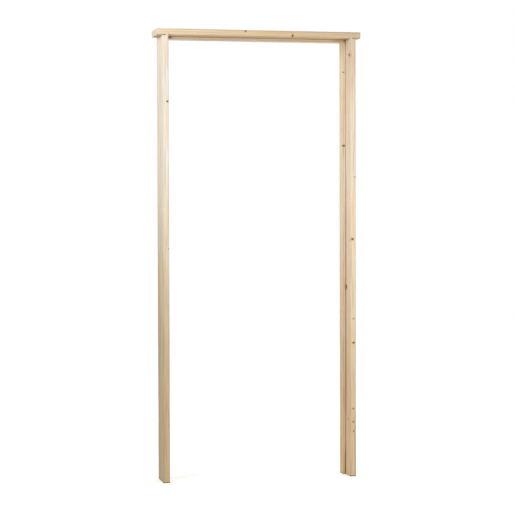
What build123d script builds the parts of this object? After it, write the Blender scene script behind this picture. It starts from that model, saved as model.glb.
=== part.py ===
"""A door lining kit put together as it stands in its opening: head, two jambs and three stops.

Millimetres. Z is up, X runs along the head and the front is at -Y. The origin is on the floor,
midway between the jambs and midway through the depth of the lining.
"""

import os
from math import radians, tan

from build123d import *

os.makedirs("parts", exist_ok=True)

# Lining: planed softwood boards, all of one depth
opening_width = 844.0
lining_depth = 150.0
jamb_length = 2030.0
jamb_thickness = 28.0
head_thickness = 28.0
head_horn = 23.0
arris = 1.5

# Head joints: a bare-faced tongue on each jamb's top sits in a groove across the head's underside,
# and the shoulder beside it carries the head
tongue_thickness = 12.0
tongue_height = 10.0
tongue_side_gap = 0.3
tongue_top_gap = 0.5

# Stops: loose strips pinned to the inner faces, the head stop first and the others under it
stop_thickness = 12.0
stop_width = 60.0
stop_back_reveal = 15.0
stop_arris = 1.2
stop_end_gap = 0.4

# Screws: down through the head into the top of each jamb
screws_per_joint = 3
screw_edge_distance = 25.0
screw_length = 60.0
screw_shank = 4.5
screw_core = 3.0
screw_point = 5.0
screw_head = 9.0
screw_sink = 0.5
countersink_angle = 90.0
shank_clearance = 0.25
pilot_clearance = 0.05
pilot_spare = 3.0

# Cross recess in each screw head
recess_span = 4.6
recess_width = 1.2
recess_depth = 1.4

# Places that follow from the sizes above
soffit = jamb_length - tongue_height
head_top = soffit + head_thickness
head_length = opening_width + 2 * (jamb_thickness + head_horn)
jamb_centre = (opening_width + jamb_thickness) / 2
tongue_centre = (opening_width + tongue_thickness) / 2
shoulder_width = jamb_thickness - tongue_thickness
shoulder_centre = opening_width / 2 + tongue_thickness + shoulder_width / 2
stop_centre = lining_depth / 2 - stop_back_reveal - stop_width / 2
side_stop_length = soffit - stop_thickness - stop_end_gap

# Screw places: a row over each shoulder, with the heads sunk below the top face
screw_spacing = (lining_depth - 2 * screw_edge_distance) / (screws_per_joint - 1)
screw_top = head_top - screw_sink
sink_slope = tan(radians(countersink_angle / 2))
cone_height = (screw_head - screw_shank) / 2 / sink_slope
pilot_depth = soffit - (screw_top - screw_length) + pilot_spare

sides = {"left": -1, "right": 1}

# Head: a board laid flat, grooved for the jambs' tongues and drilled for their screws
with BuildPart() as head:
    with BuildSketch(Plane.YZ.offset(-head_length / 2)):
        with Locations((0, soffit + head_thickness / 2)):
            RectangleRounded(lining_depth, head_thickness, arris)
    extrude(amount=head_length)
    with BuildSketch(Plane.XY.offset(soffit)):
        with GridLocations(2 * tongue_centre, 0, 2, 1):
            Rectangle(tongue_thickness + 2 * tongue_side_gap, lining_depth)
    extrude(amount=tongue_height + tongue_top_gap, mode=Mode.SUBTRACT)
    with Locations(Plane.XY.offset(head_top)):
        with GridLocations(2 * shoulder_centre, screw_spacing, 2, screws_per_joint):
            CounterSinkHole(
                radius=screw_shank / 2 + shank_clearance,
                counter_sink_radius=screw_head / 2 + screw_sink * sink_slope,
                counter_sink_angle=countersink_angle,
            )
head.part.label = "head"
export_step(head.part, "parts/head.step")

# Jambs: upright boards, each with a tongue and a shoulder at the top, and square at the foot
for side, direction in sides.items():
    with BuildPart() as jamb:
        with BuildSketch(Plane.XY):
            with Locations((direction * jamb_centre, 0)):
                RectangleRounded(jamb_thickness, lining_depth, arris)
        extrude(amount=jamb_length)
        with BuildSketch(Plane.XY.offset(soffit)):
            with Locations((direction * shoulder_centre, 0)):
                Rectangle(shoulder_width, lining_depth)
        extrude(amount=tongue_height, mode=Mode.SUBTRACT)
        with Locations(Plane.XY.offset(soffit)):
            with Locations((direction * shoulder_centre, 0)):
                with GridLocations(0, screw_spacing, 1, screws_per_joint):
                    Hole(radius=screw_core / 2 + pilot_clearance, depth=pilot_depth)
    jamb.part.label = side + "_jamb"
    export_step(jamb.part, "parts/" + side + "_jamb.step")

# Head stop: a strip from jamb to jamb under the head
with BuildPart() as head_stop:
    with BuildSketch(Plane.YZ.offset(-opening_width / 2 + stop_end_gap)):
        with Locations((stop_centre, soffit - stop_thickness / 2)):
            RectangleRounded(stop_width, stop_thickness, stop_arris)
    extrude(amount=opening_width - 2 * stop_end_gap)
head_stop.part.label = "head_stop"
export_step(head_stop.part, "parts/head_stop.step")

# Side stops: strips from the floor to the head stop
for side, direction in sides.items():
    with BuildPart() as side_stop:
        with BuildSketch(Plane.XY):
            with Locations((direction * (opening_width - stop_thickness) / 2, stop_centre)):
                RectangleRounded(stop_thickness, stop_width, stop_arris)
        extrude(amount=side_stop_length)
    side_stop.part.label = side + "_stop"
    export_step(side_stop.part, "parts/" + side + "_stop.step")

# Head screws: a shank through the head, and a thinner core that bites into the jamb
for side, direction in sides.items():
    for row in range(screws_per_joint):
        screw_y = screw_spacing * (row - (screws_per_joint - 1) / 2)
        screw_plane = Plane(
            origin=(direction * shoulder_centre, screw_y, screw_top), x_dir=(1, 0, 0), z_dir=(0, -1, 0)
        )
        with BuildPart() as screw:
            with BuildSketch(screw_plane):
                with BuildLine():
                    Polyline(
                        (0, 0),
                        (screw_head / 2, 0),
                        (screw_shank / 2, -cone_height),
                        (screw_shank / 2, soffit - screw_top),
                        (screw_core / 2, soffit - screw_top),
                        (screw_core / 2, screw_point - screw_length),
                        (0, -screw_length),
                        close=True,
                    )
                make_face()
            revolve(axis=Axis(screw_plane.origin, (0, 0, 1)))
            with BuildSketch(Plane(origin=screw_plane.origin)):
                Rectangle(recess_span, recess_width)
                Rectangle(recess_width, recess_span)
            extrude(amount=-recess_depth, mode=Mode.SUBTRACT)
        name = f"{side}_head_screw_{row + 1}"
        screw.part.label = name
        export_step(screw.part, f"parts/{name}.step")
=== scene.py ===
# %% [markdown]
# # A door lining in planed pine
#
# A door lining is the timber that lines a doorway: a head board across the top, a jamb down each
# side, and thin stops that the door closes against. Its shapes are plain, so nearly all of its
# looks come from the wood. This lesson keeps the boards as they were modelled, and gives every
# board its own piece of pine: growth rings that run through the board, small knots and end grain.

import math

import bmesh
import bpy
from mathutils import Matrix, Vector


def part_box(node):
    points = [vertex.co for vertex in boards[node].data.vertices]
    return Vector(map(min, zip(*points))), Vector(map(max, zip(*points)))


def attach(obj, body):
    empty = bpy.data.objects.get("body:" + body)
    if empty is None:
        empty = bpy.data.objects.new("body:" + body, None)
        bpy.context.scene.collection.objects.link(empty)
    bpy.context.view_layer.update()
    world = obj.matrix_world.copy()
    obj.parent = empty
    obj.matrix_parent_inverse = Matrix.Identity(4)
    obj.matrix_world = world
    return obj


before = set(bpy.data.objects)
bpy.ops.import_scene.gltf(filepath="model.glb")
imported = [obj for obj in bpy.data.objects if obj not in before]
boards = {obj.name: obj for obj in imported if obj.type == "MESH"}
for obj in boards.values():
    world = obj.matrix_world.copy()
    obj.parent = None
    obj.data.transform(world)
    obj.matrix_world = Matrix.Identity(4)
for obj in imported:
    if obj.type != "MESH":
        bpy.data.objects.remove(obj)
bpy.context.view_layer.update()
print("boards and screws:", ", ".join(sorted(boards)))

# %% [markdown]
# ## Where the faces lie
#
# The finishes and the pins need a few places on the lining: the inner face of a jamb, the front of
# the stops, the underside of the head. All of them are read from the boxes of the boards, so they
# stay right if the lining is made in another size.

# %% Read the places
head_low = Vector(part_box("head")[0])
jamb_low, jamb_high = (Vector(corner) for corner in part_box("right_jamb"))
stop_low, stop_high = (Vector(corner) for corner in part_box("right_stop"))
top_stop_low, top_stop_high = (Vector(corner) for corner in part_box("head_stop"))

front = head_low.y
soffit = head_low.z
inner_face = jamb_low.x
outer_face = jamb_high.x
stop_front = stop_low.y
print("inner face, soffit and stop front:", [round(v, 4) for v in (inner_face, soffit, stop_front)])

# %% [markdown]
# ## The camera
#
# The photograph was taken from well back, a little to the left and at about chest height. From so
# far away the uprights stay almost parallel. The same picture could be had with a level camera and
# a shifted lens. A camera tipped down by a degree and a half gives nearly the same lines, and it
# keeps working when it is moved round the object, so that is the way chosen.

# %% Camera
camera_place = Vector((-1.736, -7.727, 1.216))
turned_right = 12.68
tipped_down = 1.459
rolled = 0.145
picture_width = 515
focal_length_in_pixels = 1723.0

lens = bpy.data.cameras.new("photo_camera")
lens.sensor_width = 36.0
lens.lens = focal_length_in_pixels / picture_width * lens.sensor_width
camera = bpy.data.objects.new("photo_camera", lens)
camera.location = camera_place
camera.rotation_euler = [math.radians(a) for a in (90 - tipped_down, rolled, -turned_right)]
bpy.context.scene.collection.objects.link(camera)
bpy.context.scene.camera = camera
print("lens in mm:", round(lens.lens, 1))

# %% [markdown]
# ## Soft light
#
# In the photograph the faces that look left are nearly as bright as the front edges, and the light
# fades towards the feet. So the main softbox stands close by on the left, a little higher than the
# head. A lower one fills in from the right, and a weak one in front lifts the underside of the
# head. One behind and one above keep the back and the top from going dark when the lining is seen
# from there. Small lamps would be simpler, but they would throw hard shadows that the photograph
# doesn't have.

# %% Lamps
lamp_target = Vector((0.0, 0.0, 1.35))


def add_softbox(name, place, size, watts):
    """A square area lamp that faces the lining."""
    data = bpy.data.lights.new(name, "AREA")
    data.size = size
    data.energy = watts
    lamp = bpy.data.objects.new(name, data)
    lamp.location = place
    lamp.rotation_euler = (lamp_target - lamp.location).to_track_quat("-Z", "Y").to_euler()
    lamp.visible_camera = False
    bpy.context.scene.collection.objects.link(lamp)
    return lamp


lamps = [
    add_softbox("left_softbox", Vector((-1.95, -1.3, 2.4)), size=1.4, watts=49.0),
    add_softbox("right_softbox", Vector((2.0, -1.4, 1.4)), size=1.2, watts=21.0),
    add_softbox("front_fill", Vector((-0.45, -2.4, 0.55)), size=1.4, watts=16.5),
    add_softbox("back_fill", Vector((1.3, 2.7, 2.3)), size=1.6, watts=50.0),
    add_softbox("top_fill", Vector((0.4, 0.7, 3.3)), size=1.2, watts=11.0),
]
print("lamps:", ", ".join(lamp.name for lamp in lamps))

# %% [markdown]
# ## Tools for building materials
#
# A node material is a list of small sums. A few helpers keep each sum on one line: `feed` plugs a
# number or another node's output into an input, and `maths`, `vector_maths` and `smooth_step` each
# add one node and hand back its output.

# %% Helpers for single nodes


def feed(tree, socket, value):
    """Plug an output into a socket, or set the socket to a plain value."""
    if isinstance(value, bpy.types.NodeSocket):
        tree.links.new(value, socket)
    else:
        socket.default_value = value


def maths(tree, operation, *values):
    """One Math node."""
    node = tree.nodes.new("ShaderNodeMath")
    node.operation = operation
    for socket, value in zip(node.inputs, values):
        feed(tree, socket, value)
    return node.outputs[0]


def vector_maths(tree, operation, *values, output="Vector"):
    """One Vector Math node."""
    node = tree.nodes.new("ShaderNodeVectorMath")
    node.operation = operation
    for socket, value in zip(node.inputs, values):
        feed(tree, socket, value)
    return node.outputs[output]


def scaled(tree, vector, factor):
    """A vector times a number."""
    node = tree.nodes.new("ShaderNodeVectorMath")
    node.operation = "SCALE"
    feed(tree, node.inputs["Vector"], vector)
    feed(tree, node.inputs["Scale"], factor)
    return node.outputs["Vector"]


def smooth_step(tree, value, start, end, low=0.0, high=1.0):
    """A smooth change from low, where value is start, to high, where it is end."""
    node = tree.nodes.new("ShaderNodeMapRange")
    node.interpolation_type = "SMOOTHSTEP"
    given = {"Value": value, "From Min": start, "From Max": end, "To Min": low, "To Max": high}
    for name, setting in given.items():
        feed(tree, node.inputs[name], setting)
    return node.outputs["Result"]


def noise(tree, place, squeeze, detail=2.0, roughness=0.5, output="Fac"):
    """Noise whose grains per metre are given across, through and along the board."""
    node = tree.nodes.new("ShaderNodeTexNoise")
    feed(tree, node.inputs["Vector"], vector_maths(tree, "MULTIPLY", place, squeeze))
    node.inputs["Scale"].default_value = 1.0
    node.inputs["Detail"].default_value = detail
    node.inputs["Roughness"].default_value = roughness
    return node.outputs[output]


def mixed(tree, amount, first, second, blend="MIX"):
    """One colour Mix node."""
    node = tree.nodes.new("ShaderNodeMix")
    node.data_type = "RGBA"
    node.blend_type = blend
    feed(tree, node.inputs[0], amount)
    feed(tree, node.inputs[6], first)
    feed(tree, node.inputs[7], second)
    return node.outputs[2]


# %% [markdown]
# An effect that several materials share goes into a node group, which is made once and then placed
# in each material with its own settings. Two more helpers make a group and place it.

# %% Helpers for node groups
NUMBER = "NodeSocketFloat"
VECTOR = "NodeSocketVector"
COLOUR = "NodeSocketColor"


def new_group(name, inputs, outputs):
    """An empty shader node group with named sockets. Returns it with its inner ends."""
    group = bpy.data.node_groups.new(name, "ShaderNodeTree")
    for label, kind, value in inputs:
        socket = group.interface.new_socket(label, in_out="INPUT", socket_type=kind)
        socket.default_value = value
    for label, kind in outputs:
        group.interface.new_socket(label, in_out="OUTPUT", socket_type=kind)
    start = group.nodes.new("NodeGroupInput")
    end = group.nodes.new("NodeGroupOutput")
    return group, start.outputs, end.inputs


def place_group(tree, group, settings):
    """One use of a group, with a value or a link for each named input."""
    node = tree.nodes.new("ShaderNodeGroup")
    node.node_tree = group
    for label, value in settings.items():
        feed(tree, node.inputs[label], value)
    return node.outputs


# %% [markdown]
# ## Growth rings
#
# A board is cut from a round log, and its figure is the growth rings seen where the saw passed
# through them: arcs on the end, fine straight lines on an edge, and long flames on a wide face. A
# picture of grain on each face would never meet at the corners. Here the rings are real cylinders
# around the pith, which lies outside the board, and each face shows its own slice of them. The pith
# wanders a little on its way up, and that is what draws the flames.

# %% Group for the growth rings
rings_group, ring_in, ring_out = new_group(
    "growth_rings",
    [
        ("Place", VECTOR, (0.0, 0.0, 0.0)),
        ("Pith", VECTOR, (0.0, 0.0, 0.0)),
        ("Ring Width", NUMBER, 0.004),
        ("Wander", NUMBER, 0.01),
        ("Heart Radius", NUMBER, 0.1),
        ("Push", NUMBER, 0.0),
        ("Seed", NUMBER, 0.0),
    ],
    [
        ("Late Wood", NUMBER),
        ("Heart", NUMBER),
        ("Streak", NUMBER),
        ("Blush", NUMBER),
        ("Fibre", NUMBER),
    ],
)
tree = rings_group

# Each seed reads the noise at a place of its own
shift = scaled(tree, (13.7, 5.1, 9.3), ring_in["Seed"])
shuffled = vector_maths(tree, "ADD", ring_in["Place"], shift)

# The pith's slow wander along the grain, and a smaller wobble of each ring
drift = noise(tree, shuffled, (0.6, 0.6, 1.1), output="Color")
wander = scaled(tree, vector_maths(tree, "SUBTRACT", drift, (0.5, 0.5, 0.5)), ring_in["Wander"])
wobble = maths(tree, "SUBTRACT", noise(tree, shuffled, (14, 14, 4.5)), 0.5)

# Distance from the pith, measured across the grain only, with the wobble added in metres
ring_wobble = 0.0035
from_pith = vector_maths(tree, "SUBTRACT", ring_in["Place"], ring_in["Pith"])
from_pith = vector_maths(tree, "MULTIPLY", vector_maths(tree, "ADD", from_pith, wander), (1, 1, 0))
distance = vector_maths(tree, "LENGTH", from_pith, output="Value")
distance = maths(tree, "MULTIPLY_ADD", wobble, ring_wobble, distance)
distance = maths(tree, "ADD", distance, ring_in["Push"])
turns = maths(tree, "DIVIDE", distance, ring_in["Ring Width"])
print("distance from the pith:", len(rings_group.nodes), "nodes")

# %% [markdown]
# The distance, counted in rings, says where each point lies in its year. A plain sine wave over it
# would be shorter, but all rings would look alike. Pine's aren't even: wet and dry years change
# their width, and each one's dark late wood comes on slowly and ends in a sharp line.

# %% From distance to wood
# Good years and poor years: the rings aren't evenly spaced
year_swing = 1.6
years = tree.nodes.new("ShaderNodeTexNoise")
years.noise_dimensions = "1D"
feed(tree, years.inputs["W"], maths(tree, "MULTIPLY_ADD", turns, 0.35, ring_in["Seed"]))
turns = maths(tree, "MULTIPLY_ADD", years.outputs["Fac"], year_swing, turns)

# Pale early wood darkens slowly through the year, and the dark late wood ends sharply
phase = maths(tree, "FRACT", turns)
rise = smooth_step(tree, phase, 0.35, 0.9)
fall = smooth_step(tree, phase, 0.93, 1.0, 1.0, 0.0)
each_ring = tree.nodes.new("ShaderNodeTexWhiteNoise")
each_ring.noise_dimensions = "1D"
feed(tree, each_ring.inputs["W"], maths(tree, "FLOOR", turns))
strength = maths(tree, "MULTIPLY_ADD", each_ring.outputs["Value"], 0.55, 0.45)
late_wood = maths(tree, "MULTIPLY", maths(tree, "MULTIPLY", rise, fall), strength)
feed(tree, ring_out["Late Wood"], late_wood)

# The heartwood near the pith is browner, and its edge follows the rings
heart_blur = 0.004
inside = maths(tree, "SUBTRACT", ring_in["Heart Radius"], distance)
feed(tree, ring_out["Heart"], smooth_step(tree, inside, -heart_blur, heart_blur))

# Long soft streaks, a second set of them for a pinkish blush, and the fine fibres
feed(tree, ring_out["Streak"], noise(tree, shuffled, (95, 95, 3.0), detail=3.0, roughness=0.55))
elsewhere = vector_maths(tree, "ADD", shuffled, (3.1, 7.7, 1.9))
feed(tree, ring_out["Blush"], noise(tree, elsewhere, (80, 80, 4.0)))
feed(tree, ring_out["Fibre"], noise(tree, shuffled, (1500, 1500, 28), roughness=0.65))
print("group:", rings_group.name, "with", len(rings_group.nodes), "nodes")

# %% [markdown]
# ## Knots
#
# A knot is a small branch that the trunk grew round. It runs outwards from the pith, so it is a
# short dark rod in the wood, and the rings swell round it. The group gives a mask for the rod, a
# mask for the stained wood round it, and a push that bends the rings. Painting a spot on the face
# would be quicker, but the grain would then run straight through it.

# %% Group for a knot
knot_group, knot_in, knot_out = new_group(
    "knot",
    [
        ("Place", VECTOR, (0.0, 0.0, 0.0)),
        ("Centre", VECTOR, (0.0, 0.0, 0.0)),
        ("Direction", VECTOR, (1.0, 0.0, 0.0)),
        ("Radius", NUMBER, 0.004),
        ("Swell", NUMBER, 1.0),
    ],
    [("Core", NUMBER), ("Stain", NUMBER), ("Push", NUMBER)],
)
tree = knot_group
branch_depth = 0.03

# How far a point lies from the branch's line, in radii, with a ragged outline
offset = vector_maths(tree, "SUBTRACT", knot_in["Place"], knot_in["Centre"])
inwards = vector_maths(tree, "DOT_PRODUCT", offset, knot_in["Direction"], output="Value")
beside = vector_maths(tree, "SUBTRACT", offset, scaled(tree, knot_in["Direction"], inwards))
away = vector_maths(tree, "LENGTH", beside, output="Value")
ragged = maths(tree, "MULTIPLY_ADD", noise(tree, knot_in["Place"], (420, 420, 420)), 0.5, 0.75)
relative = maths(tree, "MULTIPLY", maths(tree, "DIVIDE", away, knot_in["Radius"]), ragged)

# The masks end where the branch does, and the swelling dies away over a few radii
fade = maths(tree, "DIVIDE", maths(tree, "ABSOLUTE", inwards), branch_depth)
fade = smooth_step(tree, fade, 0.6, 1.0, 1.0, 0.0)
core = smooth_step(tree, relative, 0.8, 1.15, 1.0, 0.0)
stain = smooth_step(tree, relative, 0.9, 2.4, 1.0, 0.0)
swelling = maths(tree, "POWER", maths(tree, "MULTIPLY", relative, 0.3), 2.0)
swelling = maths(tree, "EXPONENT", maths(tree, "MULTIPLY", swelling, -1.0))
push = maths(tree, "MULTIPLY", swelling, knot_in["Radius"])
push = maths(tree, "MULTIPLY", push, knot_in["Swell"])
feed(tree, knot_out["Core"], maths(tree, "MULTIPLY", core, fade))
feed(tree, knot_out["Stain"], maths(tree, "MULTIPLY", stain, fade))
feed(tree, knot_out["Push"], maths(tree, "MULTIPLY", push, fade))
print("group:", knot_group.name, "with", len(knot_group.nodes), "nodes")

# %% [markdown]
# ## Seams between boards
#
# Two boards that only touch leave a hairline of shadow between them, with a little dust in it. From
# across a room it is thinner than a pixel and would vanish, yet in the photograph it draws every
# joint. The group gives a mask for the wood close to a straight line, which is set by a point and a
# direction. With a longer reach, the same mask paints the broad, soft shade of an inner corner and
# the other painted shade. Thin dark strips would do for the joints, but they would be pieces that
# the lining hasn't got.

# %% Group for a seam
seam_group, seam_in, seam_out = new_group(
    "seam",
    [
        ("Where", VECTOR, (0.0, 0.0, 0.0)),
        ("Point", VECTOR, (0.0, 0.0, 0.0)),
        ("Direction", VECTOR, (0.0, 0.0, 1.0)),
        ("Reach", NUMBER, 0.002),
        ("Half Length", NUMBER, 2.0),
        ("Fade", NUMBER, 0.002),
    ],
    [("Shade", NUMBER)],
)
tree = seam_group
offset = vector_maths(tree, "SUBTRACT", seam_in["Where"], seam_in["Point"])
along = vector_maths(tree, "DOT_PRODUCT", offset, seam_in["Direction"], output="Value")
beside = vector_maths(tree, "SUBTRACT", offset, scaled(tree, seam_in["Direction"], along))
away = maths(tree, "DIVIDE", vector_maths(tree, "LENGTH", beside, output="Value"), seam_in["Reach"])
past_end = maths(tree, "SUBTRACT", maths(tree, "ABSOLUTE", along), seam_in["Half Length"])
within = smooth_step(tree, past_end, 0.0, seam_in["Fade"], 1.0, 0.0)
close_by = smooth_step(tree, away, 0.25, 1.0, 1.0, 0.0)
feed(tree, seam_out["Shade"], maths(tree, "MULTIPLY", close_by, within))
print("group:", seam_group.name, "with", len(seam_group.nodes), "nodes")

# %% [markdown]
# ## Darker edges
#
# A thin grey line darkens the wood along its long edges. The distance to the nearest long edge
# follows from the board's own coordinates: of the distances to the nearest wide face and to the
# nearest narrow face, one is zero on the surface, and the other is how far the edge is. Noise
# breaks the line up into patches.

# %% Group for darker edges
edge_group, edge_in, edge_out = new_group(
    "darker_edge",
    [
        ("Place", VECTOR, (0.0, 0.0, 0.0)),
        ("Half Size", VECTOR, (0.05, 0.01, 1.0)),
        ("Seed", NUMBER, 0.0),
    ],
    [("Edge Grey", NUMBER)],
)
tree = edge_group
greyest_to = 0.001
plain_from = 0.007
from_middle = vector_maths(tree, "ABSOLUTE", edge_in["Place"])
inset = vector_maths(tree, "SUBTRACT", edge_in["Half Size"], from_middle)
inset_parts = tree.nodes.new("ShaderNodeSeparateXYZ")
feed(tree, inset_parts.inputs[0], inset)
from_edge = maths(tree, "MAXIMUM", inset_parts.outputs["X"], inset_parts.outputs["Y"])
shift = scaled(tree, (2.3, 8.1, 4.7), edge_in["Seed"])
patchy = noise(tree, vector_maths(tree, "ADD", edge_in["Place"], shift), (60, 60, 9))
patchy = smooth_step(tree, patchy, 0.3, 0.6, 0.45, 1.0)
close_by = smooth_step(tree, from_edge, greyest_to, plain_from, 1.0, 0.0)
feed(tree, edge_out["Edge Grey"], maths(tree, "MULTIPLY", close_by, patchy))
print("group:", edge_group.name, "with", len(edge_group.nodes), "nodes")

# %% [markdown]
# ## Planed pine
#
# This group turns the rings and knots into a finish. It starts from the tone of the board. Yellow,
# grey and pink streaks tint it, then heartwood, late wood and fibres. Over them lie the stain round
# the knots, then the end grain, where the saw has torn the fibres and left them greyer, and last
# the dark cores of the knots. One noise and one colour ramp would be shorter, but pine shows all of
# these at once, each at its own scale.

# %% Tints of pine
YELLOW_STREAK = (1.0, 0.94, 0.72, 1.0)
GREY_STREAK = (0.78, 0.79, 0.80, 1.0)
PINK_BLUSH = (1.0, 0.86, 0.82, 1.0)
HEART_TINT = (0.88, 0.78, 0.64, 1.0)
LATE_TINT = (0.82, 0.66, 0.46, 1.0)
KNOT_STAIN = (0.46, 0.27, 0.12, 1.0)
KNOT_CORE = (0.09, 0.04, 0.02, 1.0)
END_GRAIN = (0.74, 0.70, 0.62, 1.0)
print("darkest tint, a knot's core:", KNOT_CORE[:3])

# %% Group for planed pine
pine_group, pine_in, pine_out = new_group(
    "planed_pine",
    [
        ("Place", VECTOR, (0.0, 0.0, 0.0)),
        ("Pith", VECTOR, (0.0, 0.0, 0.0)),
        ("Ring Width", NUMBER, 0.004),
        ("Wander", NUMBER, 0.01),
        ("Heart Radius", NUMBER, 0.1),
        ("Seed", NUMBER, 0.0),
        ("Tone", COLOUR, (0.8, 0.7, 0.5, 1.0)),
        ("End Face", NUMBER, 0.0),
        ("Core", NUMBER, 0.0),
        ("Stain", NUMBER, 0.0),
        ("Push", NUMBER, 0.0),
    ],
    [("Colour", COLOUR), ("Roughness", NUMBER), ("Relief", NUMBER)],
)
tree = pine_group
shared = ("Place", "Pith", "Ring Width", "Wander", "Heart Radius", "Seed", "Push")
grown = place_group(tree, rings_group, {label: pine_in[label] for label in shared})

yellow = smooth_step(tree, grown["Streak"], 0.52, 0.66)
colour = mixed(tree, yellow, pine_in["Tone"], YELLOW_STREAK, blend="MULTIPLY")
grey = smooth_step(tree, grown["Streak"], 0.46, 0.3)
colour = mixed(tree, grey, colour, GREY_STREAK, blend="MULTIPLY")
pink = smooth_step(tree, grown["Blush"], 0.5, 0.66)
colour = mixed(tree, pink, colour, PINK_BLUSH, blend="MULTIPLY")
colour = mixed(tree, grown["Heart"], colour, HEART_TINT, blend="MULTIPLY")
late = maths(tree, "MULTIPLY", grown["Late Wood"], 0.9)
colour = mixed(tree, late, colour, LATE_TINT, blend="MULTIPLY")
fibres = smooth_step(tree, grown["Fibre"], 0.45, 0.75, 0.0, 0.3)
colour = mixed(tree, fibres, colour, LATE_TINT, blend="MULTIPLY")
colour = mixed(tree, maths(tree, "MULTIPLY", pine_in["Stain"], 0.45), colour, KNOT_STAIN)
colour = mixed(tree, maths(tree, "MULTIPLY", pine_in["End Face"], 0.7), colour, END_GRAIN)
colour = mixed(tree, pine_in["Core"], colour, KNOT_CORE)
feed(tree, pine_out["Colour"], colour)
print("colour of planed pine:", len(pine_group.nodes), "nodes")

# %% [markdown]
# The same masks also make the surface rough or smooth and raise or sink it, so that a dark ring in
# the colour is a ring in the relief too. The relief has the raised late wood, the fibres, the
# sunken knots, and the faint ripple that a planer leaves across the grain. Real geometry that fine
# would need millions of faces, so all of it goes through a bump.

# %% Roughness and relief of planed pine
# Planed wood is nearly matt. Late wood is denser and shines a little more, end grain less
rough = maths(tree, "MULTIPLY_ADD", grown["Late Wood"], -0.12, 0.62)
feed(tree, pine_out["Roughness"], maths(tree, "MULTIPLY_ADD", pine_in["End Face"], 0.15, rough))

# One knife of the planer cuts about every 2.5 mm along the board
knife_step = 0.0025
ripple_turns = 2 * math.pi / knife_step
split = tree.nodes.new("ShaderNodeSeparateXYZ")
feed(tree, split.inputs[0], pine_in["Place"])
ripple = maths(tree, "SINE", maths(tree, "MULTIPLY", split.outputs["Z"], ripple_turns))
relief = maths(tree, "MULTIPLY_ADD", grown["Fibre"], 0.4, maths(tree, "MULTIPLY", ripple, 0.04))
relief = maths(tree, "MULTIPLY_ADD", grown["Late Wood"], 0.5, relief)
feed(tree, pine_out["Relief"], maths(tree, "MULTIPLY_ADD", pine_in["Core"], -0.6, relief))
print("group:", pine_group.name, "with", len(pine_group.nodes), "nodes")

# %% [markdown]
# ## One board, one material
#
# Every board is a different piece of a tree, so each gets a material of its own from one function.
# A board's coordinates run across its face, through its thickness and along its grain, measured
# from its middle. Only two layouts are needed: upright boards have their grain along Z, and the
# head and its stop have it along X.

# %% Board coordinates
UPRIGHT = ("Y", "X", "Z")
LEVEL = ("Y", "Z", "X")


def in_board(point, layout):
    """A point's across, through and along for a board of this layout."""
    return [getattr(point, letter.lower()) for letter in layout]


def middle_of(node_name):
    """The middle of a board's box."""
    low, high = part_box(node_name)
    return (Vector(low) + Vector(high)) / 2


def board_place(tree, where, middle, layout):
    """Nodes that turn object coordinates into board coordinates."""
    split = tree.nodes.new("ShaderNodeSeparateXYZ")
    feed(tree, split.inputs[0], vector_maths(tree, "SUBTRACT", where, middle))
    join = tree.nodes.new("ShaderNodeCombineXYZ")
    for socket, letter in zip(join.inputs, layout):
        feed(tree, socket, split.outputs[letter])
    return join.outputs[0]


print("middle of the head:", [round(v, 4) for v in middle_of("head")])

# %% [markdown]
# A board's knots and seams are lists, and a group is placed for each entry. Where two of them
# overlap, the darker one counts, so no place gets darker than one knot or seam would make it. The
# pushes add up instead, because each branch shoves the rings aside on its own.

# %% Knots and seams of one board


def add_knots(tree, place, knots, pith, middle, layout):
    """Place a board's knots, each on a branch that runs straight out from the pith."""
    core = stain = push = 0.0
    for point, radius, swell in knots:
        centre = Vector(in_board(Vector(point) - middle, layout))
        branch = Vector((centre.x - pith[0], centre.y - pith[1], 0.0)).normalized()
        masks = place_group(tree, knot_group, {
            "Place": place,
            "Centre": centre,
            "Direction": branch,
            "Radius": radius,
            "Swell": swell,
        })
        core = maths(tree, "MAXIMUM", core, masks["Core"])
        stain = maths(tree, "MAXIMUM", stain, masks["Stain"])
        push = maths(tree, "ADD", push, masks["Push"])
    return core, stain, push


def add_seams(tree, where, seams):
    """Place a board's seams and painted shades, and return how dark the darkest is at each point.
    """
    shade = 0.0
    for point, direction, reach, strength, half_length, fade in seams:
        seam = place_group(tree, seam_group, {
            "Where": where,
            "Point": point,
            "Direction": direction,
            "Reach": reach,
            "Half Length": half_length,
            "Fade": fade,
        })
        shade = maths(tree, "MAXIMUM", shade, maths(tree, "MULTIPLY", seam["Shade"], strength))
    return shade


# %% [markdown]
# One function puts the groups together: the board's coordinates, its tone, its knots, the pine, and
# over them the darker edges and the seams with their painted shade. The ends need no material of
# their own. An end face is one that looks along the grain, and the surface's normal tells that.

# %% The material of one board
# The seam tint darkens the joints, and the same tint paints shade in the corners, at the feet and
# in a few broad patches
SEAM_AND_SHADE_TINT = (0.16, 0.10, 0.05, 1.0)
EDGE_TINT = (0.80, 0.79, 0.80, 1.0)


def tone_along(tree, along, tones):
    """A colour that changes smoothly from each (place along the board, tone) to the next."""
    (start, colour), *others = tones
    for end, tone in others:
        colour = mixed(tree, smooth_step(tree, along, start, end), colour, tone)
        start = end
    return colour


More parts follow.
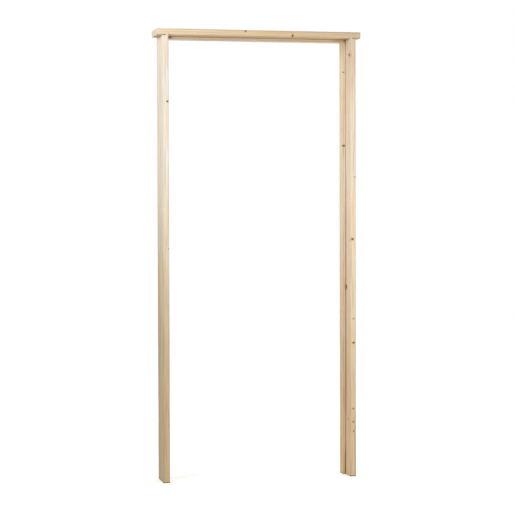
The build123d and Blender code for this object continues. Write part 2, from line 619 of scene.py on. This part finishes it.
def wood_material(
    node_name, layout, pith, ring_width, wander, heart, seed, tones, seams, knots=()
):
    """Planed pine for one board. Its tones are pairs of a place along the board and a colour."""
    material = bpy.data.materials.new(node_name + "_pine")
    material.use_nodes = True
    tree = material.node_tree
    shader = tree.nodes["Principled BSDF"]
    middle = middle_of(node_name)
    coordinates = tree.nodes.new("ShaderNodeTexCoord").outputs
    place = board_place(tree, coordinates["Object"], middle, layout)

    along = tree.nodes.new("ShaderNodeSeparateXYZ")
    feed(tree, along.inputs[0], place)
    tone = tone_along(tree, along.outputs["Z"], tones)

    facing = tree.nodes.new("ShaderNodeSeparateXYZ")
    feed(tree, facing.inputs[0], coordinates["Normal"])
    end_face = maths(tree, "ABSOLUTE", facing.outputs[layout[2]])
    end_face = smooth_step(tree, end_face, 0.6, 0.9)

    core, stain, push = add_knots(tree, place, knots, pith, middle, layout)
    pine = place_group(tree, pine_group, {
        "Place": place,
        "Pith": (*pith, 0.0),
        "Ring Width": ring_width,
        "Wander": wander,
        "Heart Radius": heart,
        "Seed": seed,
        "Tone": tone,
        "End Face": end_face,
        "Core": core,
        "Stain": stain,
        "Push": push,
    })

    edge_grey = place_group(tree, edge_group, {
        "Place": place,
        "Half Size": in_board(Vector(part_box(node_name)[1]) - middle, layout),
        "Seed": seed,
    })
    colour = mixed(tree, edge_grey["Edge Grey"], pine["Colour"], EDGE_TINT, blend="MULTIPLY")
    shade = add_seams(tree, coordinates["Object"], seams)
    feed(tree, shader.inputs["Base Color"], mixed(tree, shade, colour, SEAM_AND_SHADE_TINT))
    feed(tree, shader.inputs["Roughness"], pine["Roughness"])
    shader.inputs["Specular IOR Level"].default_value = 0.35

    bump = tree.nodes.new("ShaderNodeBump")
    bump.inputs["Strength"].default_value = 0.35
    bump.inputs["Distance"].default_value = 0.0002
    feed(tree, bump.inputs["Height"], pine["Relief"])
    feed(tree, shader.inputs["Normal"], bump.outputs["Normal"])
    boards[node_name].data.materials.clear()
    boards[node_name].data.materials.append(material)
    print(material.name, "has", len(knots), "knots and", len(seams), "seams")
    return material


# %% [markdown]
# ## Where the seams run
#
# The seams follow the joints: down each jamb where the stop begins, along the underside of the head
# where its stop begins, across the head at each jamb, and the short line on each jamb's front and
# back edge where its shoulder meets the head. In the top corners, where three boards meet, they
# widen into painted shade. Along the feet they are a painted contact shadow where the boards stand
# on the floor, and the seam beside each stop darkens towards the foot as painted shade. Four are
# broad and faint instead, and they are painted shade too. They darken the middle of the head and
# its stop, the back of the left jamb's outer face, the right jamb beside its stop, and the outer
# edge of the right foot. Lamps alone would shade the faces next to these too.
#
# Each seam has six values: a point on its line, the line's direction, how far the shade reaches to
# the sides, how dark it is, half its length, and how far it fades past its ends.

# %% Seams of the lining
ALONG_X = (1.0, 0.0, 0.0)
ALONG_Y = (0.0, 1.0, 0.0)
ALONG_Z = (0.0, 0.0, 1.0)
ENDLESS = 2.0  # a half length past every board's end, in metres
SHARP = 0.002  # a fade that the eye takes for a clean end
tongue_thickness = 0.012
shoulder_inner = inner_face + tongue_thickness
shoulder_middle = (shoulder_inner + outer_face) / 2
shoulder_half = (outer_face - shoulder_inner) / 2


def side_seams_and_shade(side):
    """The seams and painted shade at one jamb. side is -1 for the left and 1 for the right."""
    # The top corner gets painted shade where three boards meet. The left corner is the darker one
    # in the photograph, so its painted shade is longer
    corner = (side * inner_face, stop_front, soffit)
    corner_half = 0.022 if side < 0 else 0.004
    seams = [
        ((side * inner_face, stop_front, 1.0), ALONG_Z, 0.003, 0.6, ENDLESS, SHARP),
        # Painted shade where the stop meets the jamb, darkening towards the foot
        ((side * inner_face, stop_front, 0.0), ALONG_Z, 0.006, 0.9, 0.08, 0.08),
        # Painted shade in the top corner, where three boards meet
        (corner, ALONG_Z, 0.006, 0.6, 0.01, 0.02),
        (corner, ALONG_X, 0.014, 0.85, corner_half, 0.014),
        ((side * inner_face, 0.0, soffit), ALONG_Y, 0.003, 0.8, ENDLESS, SHARP),
        # Painted contact shadow along the bottom of the inner face, the stop and the outer face
        ((side * inner_face, 0.0, 0.0), ALONG_Y, 0.005, 0.6, ENDLESS, SHARP),
        ((side * stop_low.x, 0.0, 0.0), ALONG_Y, 0.006, 0.7, ENDLESS, SHARP),
        ((side * outer_face, 0.0, 0.0), ALONG_Y, 0.006, 0.5, ENDLESS, SHARP),
    ]
    for edge in (front, -front):
        # Painted contact shadow along the bottom of the front and back edges
        seams.append(((side * inner_face, edge, 0.0), ALONG_X, 0.008, 0.8, ENDLESS, SHARP))
        joint = (side * shoulder_middle, edge, soffit)
        seams.append((joint, ALONG_X, 0.0035, 0.85, shoulder_half, SHARP))
    return seams


stop_joint = (0.0, stop_front, soffit)
# Painted shade under the middle of the head, on the head and on its stop
shade_under_head = (stop_joint, ALONG_X, 0.06, 0.17, 0.25, 0.12)
head_seams_and_shade = [(stop_joint, ALONG_X, 0.003, 0.8, ENDLESS, SHARP), shade_under_head]
head_stop_seams_and_shade = [
    (stop_joint, ALONG_X, 0.003, 0.6, ENDLESS, SHARP),
    shade_under_head,
    # Painted shade in the two top corners, where three boards meet
    ((-inner_face, stop_front, soffit), ALONG_X, 0.014, 0.85, 0.022, 0.014),
    ((inner_face, stop_front, soffit), ALONG_X, 0.013, 0.8, 0.004, 0.01),
]
left_jamb_seams_and_shade = side_seams_and_shade(-1) + [
    # Painted shade along the back of the left jamb's outer face
    ((-outer_face, -front, 0.35), ALONG_Z, 0.09, 0.27, 0.3, 0.8),
]
right_jamb_seams_and_shade = side_seams_and_shade(1) + [
    # Painted shade on the right jamb beside its stop
    ((inner_face, stop_front, 0.8), ALONG_Z, 0.026, 0.36, 0.35, 0.3),
    # Painted shade along the outer front edge of the right foot
    ((outer_face, front, 0.0), ALONG_Z, 0.012, 0.35, 0.2, 0.2),
]
print("seams at each jamb:", len(left_jamb_seams_and_shade), len(right_jamb_seams_and_shade))

# %% [markdown]
# ## The six pieces of pine
#
# The knots that show in the photograph are small, dark and few. Each is placed on its own board:
# a point in metres on the face where it shows, its radius, and how far the grain swells round it.
# The wood is palest in the upper half of the uprights, and darker and sandier towards their feet,
# where the darkening is painted shade for light that fades downwards.

# %% Knots of each board
head_knots = [((-0.067, -0.075, 2.043), 0.0034, 2.0), ((0.152, -0.075, 2.027), 0.0042, 2.0)]
left_jamb_knots = [
    ((-0.4277, -0.075, 1.721), 0.0040, 2.0),
    ((-0.4216, -0.075, 1.059), 0.0032, 2.0),
    ((-0.450, 0.071, 0.255), 0.0038, 2.0),
]
right_jamb_knots = [
    ((0.422, -0.0655, 1.945), 0.0062, 3.0),
    ((0.4345, -0.075, 1.0975), 0.0045, 2.0),
    ((0.4385, -0.075, 0.619), 0.0042, 2.0),
    ((0.4385, -0.075, 0.7295), 0.0022, 2.0),
    ((0.4450, -0.075, 1.385), 0.0018, 2.0),
    ((0.4385, -0.075, 0.210), 0.0030, 2.0),
    ((0.422, -0.0105, 0.875), 0.0112, 2.0),
    ((0.4365, -0.075, 0.314), 0.0028, 2.0),
    ((0.4360, -0.075, 0.253), 0.0032, 2.0),
    ((0.422, -0.045, 0.262), 0.0034, 2.0),
]
right_stop_knots = [
    ((0.4125, 0.0, 1.870), 0.0022, 2.0),
    ((0.4145, 0.0, 1.530), 0.0036, 2.0),
]
jamb_knots = len(left_jamb_knots) + len(right_jamb_knots)
print("knots on the head, jambs and stops:", len(head_knots), jamb_knots, len(right_stop_knots))

# %% [markdown]
# The tones are chosen so that each face comes out as in the photograph, and they change along the
# board. So besides the wood's own colour they hold painted shade: the uprights darken towards their
# feet, and the head's stop is darker where it sits in the shade under the head. Every pith lies a
# few centimetres outside its board, each on another side or at another distance, so no two boards
# show the same figure. One shared material would be less work, but then all six would look sawn
# from one plank.

# %% Materials of the boards
# The deep sand tones at the feet are painted shade for light that fades downwards, and the head
# stop's darker straw is painted shade under the head
CREAM = (0.81, 0.77, 0.67, 1.0)
STRAW = (0.89, 0.79, 0.62, 1.0)
SHADED_STRAW = (0.83, 0.73, 0.57, 1.0)
ROSE = (0.79, 0.67, 0.53, 1.0)
SHADED_SAND = (0.73, 0.57, 0.37, 1.0)
DEEP_SHADED_SAND = (0.57, 0.45, 0.275, 1.0)
HONEY = (0.74, 0.62, 0.44, 1.0)
AMBER = (0.73, 0.59, 0.41, 1.0)
wood_material(
    "head", LEVEL, pith=(0.02, -0.07), ring_width=0.0036, wander=0.03, heart=0.108, seed=1.0,
    tones=((-0.3, HONEY), (0.4, AMBER)),
    knots=head_knots, seams=head_seams_and_shade + side_seams_and_shade(-1) + side_seams_and_shade(1),
)
wood_material(
    "left_jamb", UPRIGHT, pith=(0.03, 0.08), ring_width=0.0042, wander=0.03, heart=0.08, seed=2.0,
    tones=((-0.6, DEEP_SHADED_SAND), (0.55, CREAM)), knots=left_jamb_knots, seams=left_jamb_seams_and_shade,
)
wood_material(
    "right_jamb", UPRIGHT, pith=(0.02, 0.06), ring_width=0.0040, wander=0.03, heart=0.06, seed=3.4,
    tones=((-0.8, SHADED_SAND), (0.4, STRAW), (0.6, STRAW), (0.95, ROSE)),
    knots=right_jamb_knots, seams=right_jamb_seams_and_shade,
)
wood_material(
    "head_stop", LEVEL, pith=(-0.05, -0.05), ring_width=0.0030, wander=0.02, heart=0.04, seed=4.0,
    tones=((0.0, SHADED_STRAW),), seams=head_stop_seams_and_shade,
)
wood_material(
    "left_stop", UPRIGHT, pith=(0.03, -0.06), ring_width=0.0032, wander=0.02, heart=0.05, seed=5.0,
    tones=((-0.8, SHADED_SAND), (0.6, CREAM)), seams=side_seams_and_shade(-1),
)
wood_material(
    "right_stop", UPRIGHT, pith=(0.04, -0.05), ring_width=0.0032, wander=0.02, heart=0.04, seed=6.0,
    tones=((-0.8, SHADED_SAND), (0.4, STRAW)), knots=right_stop_knots, seams=side_seams_and_shade(1),
)

# %% [markdown]
# ## Plated steel
#
# The screws are plated with yellow zinc, and the pins are bright drawn wire. Both are the same kind
# of surface: a metal that is cloudy where the plating is uneven, with fine scratches. A plain metal
# would do at the photograph's distance, but close up it would look like plastic.

# %% Group for plated steel
steel_group, steel_in, steel_out = new_group(
    "plated_steel",
    [
        ("Place", VECTOR, (0.0, 0.0, 0.0)),
        ("Bright", COLOUR, (0.8, 0.8, 0.8, 1.0)),
        ("Dull", COLOUR, (0.5, 0.5, 0.5, 1.0)),
    ],
    [("Colour", COLOUR), ("Roughness", NUMBER), ("Relief", NUMBER)],
)
tree = steel_group
cloud = noise(tree, steel_in["Place"], (520, 520, 520), detail=3.0)
scratch = noise(tree, steel_in["Place"], (2600, 2600, 9000), roughness=0.6)
bright_part = smooth_step(tree, cloud, 0.35, 0.65)
feed(tree, steel_out["Colour"], mixed(tree, bright_part, steel_in["Dull"], steel_in["Bright"]))
feed(tree, steel_out["Roughness"], maths(tree, "MULTIPLY_ADD", cloud, -0.2, 0.45))
feed(tree, steel_out["Relief"], scratch)


def steel_material(name, bright, dull):
    """Plated steel with its own two tones."""
    material = bpy.data.materials.new(name)
    material.use_nodes = True
    tree = material.node_tree
    shader = tree.nodes["Principled BSDF"]
    where = tree.nodes.new("ShaderNodeTexCoord").outputs["Object"]
    steel = place_group(tree, steel_group, {"Place": where, "Bright": bright, "Dull": dull})
    shader.inputs["Metallic"].default_value = 1.0
    feed(tree, shader.inputs["Base Color"], steel["Colour"])
    feed(tree, shader.inputs["Roughness"], steel["Roughness"])
    bump = tree.nodes.new("ShaderNodeBump")
    bump.inputs["Strength"].default_value = 0.3
    bump.inputs["Distance"].default_value = 0.0001
    feed(tree, bump.inputs["Height"], steel["Relief"])
    feed(tree, shader.inputs["Normal"], bump.outputs["Normal"])
    return material


zinc = steel_material("yellow_zinc", (0.86, 0.74, 0.42, 1.0), (0.62, 0.52, 0.30, 1.0))
wire = steel_material("bright_wire", (0.55, 0.53, 0.50, 1.0), (0.30, 0.28, 0.26, 1.0))
screws = [name for name in boards if "screw" in name]
for name in screws:
    boards[name].data.materials.clear()
    boards[name].data.materials.append(zinc)
print("plated screws:", len(screws))

# %% [markdown]
# ## Pins in the stops
#
# The stops are loose strips that the joiner pins on last, every foot or so, after the door has been
# hung. A pin is a short wire nail with a head hardly wider than its shank, driven just flush. It is
# turned from a short profile, as on a lathe: a domed head, the shank and a point.

# %% The shape of a pin
pin_length = 0.030
pin_shank = 0.0009
pin_head = 0.0014
pin_sides = 16

# Radius and height, from the middle of the head's dome down to the point
pin_profile = [
    (0.0, 0.0003),
    (pin_shank, 0.0002),
    (pin_head, 0.0),
    (pin_head, -0.0008),
    (pin_shank, -0.0018),
    (pin_shank, -pin_length + 0.003),
    (0.0, -pin_length),
]


def pin_mesh(name):
    """A pin with its head at the origin and its point down the -Z axis."""
    shape = bmesh.new()
    chain = [shape.verts.new((radius, 0.0, height)) for radius, height in pin_profile]
    lines = [shape.edges.new(pair) for pair in zip(chain, chain[1:])]
    bmesh.ops.spin(
        shape, geom=chain + lines, cent=(0, 0, 0), axis=(0, 0, 1),
        angle=2 * math.pi, steps=pin_sides,
    )
    bmesh.ops.remove_doubles(shape, verts=shape.verts, dist=1e-6)
    bmesh.ops.recalc_face_normals(shape, faces=shape.faces)
    mesh = bpy.data.meshes.new(name)
    shape.to_mesh(mesh)
    shape.free()
    mesh.materials.append(wire)
    return mesh


def add_pin(name, place, outwards):
    """Drive one pin at a place, with its head facing outwards."""
    pin = bpy.data.objects.new(name, pin_mesh(name))
    turned = outwards.to_track_quat("Z", "Y").to_matrix().to_4x4()
    pin.matrix_world = Matrix.Translation(place) @ turned
    bpy.context.scene.collection.objects.link(pin)
    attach(pin, "root")
    return pin


print("a pin's length and head in metres:", pin_length, round(2 * pin_head, 4))

# %% [markdown]
# The pins run down the middle of each stop in even steps, from one end to the other. Their places
# come from the stops' own boxes, so none has to be set by hand.

# %% Pin the stops
pins_per_side = 6
first_pin = 0.16
pin_line = (stop_low.y + stop_high.y) / 2
stop_face = stop_low.x
pin_step = (stop_high.z - 2 * first_pin) / (pins_per_side - 1)
pins = []
for side, name in ((-1, "left"), (1, "right")):
    for count in range(pins_per_side):
        place = Vector((side * stop_face, pin_line, first_pin + count * pin_step))
        pins.append(add_pin(f"{name}_stop_pin_{count + 1}", place, Vector((-side, 0.0, 0.0))))

pins_in_head = 3
head_step = (top_stop_high.x - top_stop_low.x - 2 * first_pin) / (pins_in_head - 1)
for count in range(pins_in_head):
    place = Vector((top_stop_low.x + first_pin + count * head_step, pin_line, top_stop_low.z))
    pins.append(add_pin(f"head_stop_pin_{count + 1}", place, Vector((0.0, 0.0, -1.0))))
print("pins:", len(pins), "about", round(pin_step, 3), "m apart")

# %% [markdown]
# ## The floor
#
# The photograph has no ground at all, only white. A pale floor that glows a little where it is
# seen stays white in the picture, and still takes the soft shadow of the feet. A floor that only
# the lamps light would show a grey patch and a horizon.

# %% The floor itself
floor_half = 8.0
floor_mesh = bpy.data.meshes.new("floor")
corners = [(x * floor_half, y * floor_half, 0.0) for x, y in ((-1, -1), (1, -1), (1, 1), (-1, 1))]
floor_mesh.from_pydata(corners, [], [(0, 1, 2, 3)])
floor = bpy.data.objects.new("floor", floor_mesh)
bpy.context.scene.collection.objects.link(floor)
print("floor:", 2 * floor_half, "m wide")

# %% [markdown]
# The glow is only for rays that look at the floor, from the camera or by way of a mirror or a pane.
# A ray that carries light meets an ordinary pale floor, so the glow doesn't light the wood from
# below. Far from the lining, where the lamps don't reach, the floor glows more, so that no horizon
# shows.

# %% Paint of the floor


def seen_directly(tree):
    """1 for rays from the camera, a mirror or a pane, and 0 for rays that carry light."""
    rays = tree.nodes.new("ShaderNodeLightPath").outputs
    mirrored = maths(tree, "MAXIMUM", rays["Is Glossy Ray"], rays["Is Transmission Ray"])
    return maths(tree, "MAXIMUM", rays["Is Camera Ray"], mirrored)


glow_near_feet = 0.44
glow_far_off = 0.87
glow_rises_from = 1.0
glow_rises_to = 3.5
paint = bpy.data.materials.new("pale_floor")
paint.use_nodes = True
tree = paint.node_tree
shader = tree.nodes["Principled BSDF"]
shader.inputs["Base Color"].default_value = (0.80, 0.79, 0.77, 1.0)
shader.inputs["Roughness"].default_value = 0.9
shader.inputs["Specular IOR Level"].default_value = 0.1
shader.inputs["Emission Color"].default_value = (1.0, 1.0, 1.0, 1.0)
where = tree.nodes.new("ShaderNodeTexCoord").outputs["Object"]
far_off = vector_maths(tree, "LENGTH", where, output="Value")
glow = smooth_step(tree, far_off, glow_rises_from, glow_rises_to, glow_near_feet, glow_far_off)
feed(tree, shader.inputs["Emission Strength"], maths(tree, "MULTIPLY", seen_directly(tree), glow))
floor_mesh.materials.append(paint)
print("glow at the feet and far off:", glow_near_feet, glow_far_off)

# %% [markdown]
# The surroundings are white where they are seen and much weaker where they light the wood. At full
# strength they would fill every shadow, and the lamps would no longer show.

# %% Surroundings
room_light = 0.20
world = bpy.data.worlds.new("white_studio")
world.use_nodes = True
bpy.context.scene.world = world
tree = world.node_tree
background = tree.nodes["Background"]
background.inputs["Color"].default_value = (1.0, 1.0, 1.0, 1.0)
brightness = smooth_step(tree, seen_directly(tree), 0.0, 1.0, room_light, 1.0)
feed(tree, background.inputs["Strength"], brightness)
bpy.context.scene.view_settings.view_transform = "Standard"
print("room light:", room_light)
